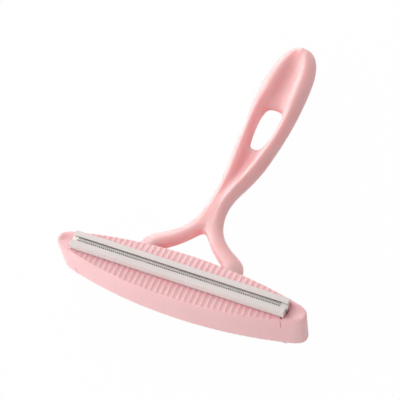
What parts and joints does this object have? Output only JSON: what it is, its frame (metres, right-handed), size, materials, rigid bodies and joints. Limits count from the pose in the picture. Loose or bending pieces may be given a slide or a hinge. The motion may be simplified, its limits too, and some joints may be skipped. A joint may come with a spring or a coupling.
{
  "type": "lint remover",
  "caption": "T-shaped hand tool for clothes: a forked handle with a finger hole, and a grooved head with a toothed metal strip in a white bar on front and back.",
  "frame": {"origin": "middle of the underside of the bounding box, with the tool lying on its rear face", "axes": "+X along the head, +Y from the head to the tip of the handle, +Z out of the head's front face"},
  "size_m": [0.1526, 0.2024, 0.0324],
  "materials": {
    "pink_plastic": "satin moulded plastic",
    "pink_head_plastic": "satin moulded plastic",
    "white_plastic": "matt moulded plastic",
    "toothed_steel": "bare stamped sheet",
    "screw_steel": "bright zinc"
  },
  "bodies": {
    "root": {"handle": "pink_plastic", "front_shell": "pink_head_plastic", "rear_shell": "pink_head_plastic", "front_bar": "white_plastic", "rear_bar": "white_plastic", "front_toothed_strip": "toothed_steel", "rear_toothed_strip": "toothed_steel", "screw_1": "screw_steel", "screw_2": "screw_steel", "screw_3": "screw_steel", "screw_4": "screw_steel"}
  },
  "joints": []
}
